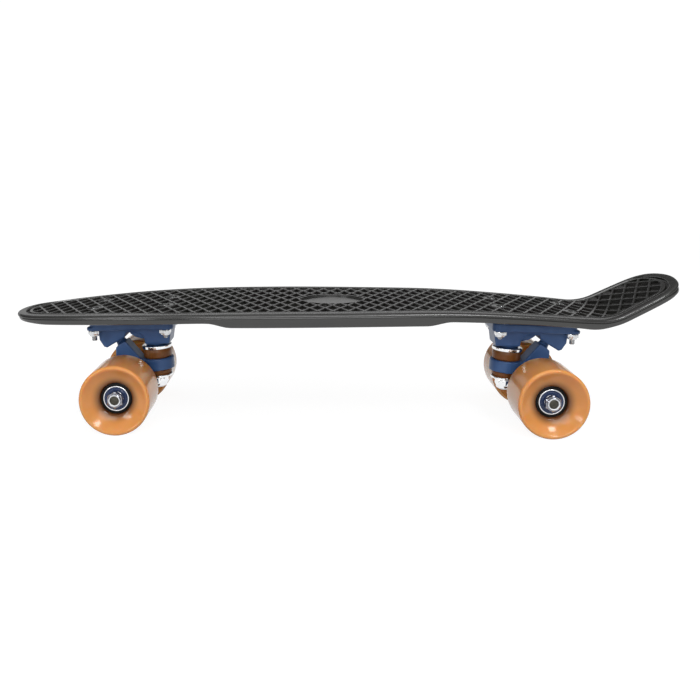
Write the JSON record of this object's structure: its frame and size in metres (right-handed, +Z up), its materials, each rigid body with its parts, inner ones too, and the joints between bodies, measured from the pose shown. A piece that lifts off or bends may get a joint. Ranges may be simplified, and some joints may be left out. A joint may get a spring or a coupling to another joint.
{
  "type": "cruiser skateboard",
  "caption": "Short plastic cruiser skateboard with a waffle-top deck, kicked tail, two kingpin trucks and soft wide wheels.",
  "frame": {"origin": "on the floor under the middle of the overall length, at mid width; the wheels stand on z = 0", "axes": "+X along the board from nose to kicked tail, +Y to the right of a rider who faces the nose, +Z up"},
  "size_m": [0.5892, 0.155, 0.1289],
  "materials": {
    "deck_plastic": "satin moulded",
    "truck_paint": "gloss paint on cast aluminium",
    "black_urethane": "matt",
    "bushing_urethane": "satin",
    "wheel_urethane": "glossy, slightly see-through",
    "steel": "zinc plated",
    "dark_steel": "black zinc",
    "chrome": "polished"
  },
  "bodies": {
    "chassis": {"deck": "deck_plastic", "front_baseplate": "truck_paint", "front_pivot_cup": "black_urethane", "front_kingpin": "steel", "front_upper_cup_washer": "chrome", "front_upper_bushing": "bushing_urethane", "front_lower_bushing": "bushing_urethane", "front_lower_cup_washer": "chrome", "front_kingpin_nut": "chrome", "front_mount_bolt_1": "dark_steel", "front_mount_nut_1": "steel", "front_mount_bolt_2": "dark_steel", "front_mount_nut_2": "steel", "front_mount_bolt_3": "dark_steel", "front_mount_nut_3": "steel", "front_mount_bolt_4": "dark_steel", "front_mount_nut_4": "steel", "rear_baseplate": "truck_paint", "rear_pivot_cup": "black_urethane", "rear_kingpin": "steel", "rear_upper_cup_washer": "chrome", "rear_upper_bushing": "bushing_urethane", "rear_lower_bushing": "bushing_urethane", "rear_lower_cup_washer": "chrome", "rear_kingpin_nut": "chrome", "rear_mount_bolt_1": "dark_steel", "rear_mount_nut_1": "steel", "rear_mount_bolt_2": "dark_steel", "rear_mount_nut_2": "steel", "rear_mount_bolt_3": "dark_steel", "rear_mount_nut_3": "steel", "rear_mount_bolt_4": "dark_steel", "rear_mount_nut_4": "steel"},
    "front_left_wheel_set": {"front_left_wheel": "wheel_urethane", "front_left_inner_bearing": "steel", "front_left_outer_bearing": "steel"},
    "front_right_wheel_set": {"front_right_wheel": "wheel_urethane", "front_right_inner_bearing": "steel", "front_right_outer_bearing": "steel"},
    "front_truck_hanger": {"front_hanger": "truck_paint", "front_axle": "steel", "front_left_speed_washer": "steel", "front_left_axle_nut": "dark_steel", "front_right_speed_washer": "steel", "front_right_axle_nut": "dark_steel"},
    "rear_left_wheel_set": {"rear_left_wheel": "wheel_urethane", "rear_left_inner_bearing": "steel", "rear_left_outer_bearing": "steel"},
    "rear_right_wheel_set": {"rear_right_wheel": "wheel_urethane", "rear_right_inner_bearing": "steel", "rear_right_outer_bearing": "steel"},
    "rear_truck_hanger": {"rear_hanger": "truck_paint", "rear_axle": "steel", "rear_left_speed_washer": "steel", "rear_left_axle_nut": "dark_steel", "rear_right_speed_washer": "steel", "rear_right_axle_nut": "dark_steel"}
  },
  "joints": [
    {"name": "front_steer", "type": "hinge", "parent": "chassis", "child": "front_truck_hanger", "pos_m": [-0.16909, 0, 0.04636], "axis": [-0.8194, 0, 0.5733], "range_deg": [-15, 15], "stiffness_Nm_per_rad": 40, "deforming": ["front_upper_bushing", "front_lower_bushing"]},
    {"name": "front_left_roll", "type": "hinge", "parent": "front_truck_hanger", "child": "front_left_wheel_set", "pos_m": [-0.19407, -0.0505, 0.03], "axis": [0, 1, 0], "continuous": true},
    {"name": "front_right_roll", "type": "hinge", "parent": "front_truck_hanger", "child": "front_right_wheel_set", "pos_m": [-0.19407, 0.0505, 0.03], "axis": [0, 1, 0], "continuous": true},
    {"name": "rear_steer", "type": "hinge", "parent": "chassis", "child": "rear_truck_hanger", "pos_m": [0.14895, 0, 0.04636], "axis": [0.8194, 0, 0.5733], "range_deg": [-15, 15], "stiffness_Nm_per_rad": 40, "deforming": ["rear_upper_bushing", "rear_lower_bushing"]},
    {"name": "rear_left_roll", "type": "hinge", "parent": "rear_truck_hanger", "child": "rear_left_wheel_set", "pos_m": [0.17393, -0.0505, 0.03], "axis": [0, 1, 0], "continuous": true},
    {"name": "rear_right_roll", "type": "hinge", "parent": "rear_truck_hanger", "child": "rear_right_wheel_set", "pos_m": [0.17393, 0.0505, 0.03], "axis": [0, 1, 0], "continuous": true}
  ]
}
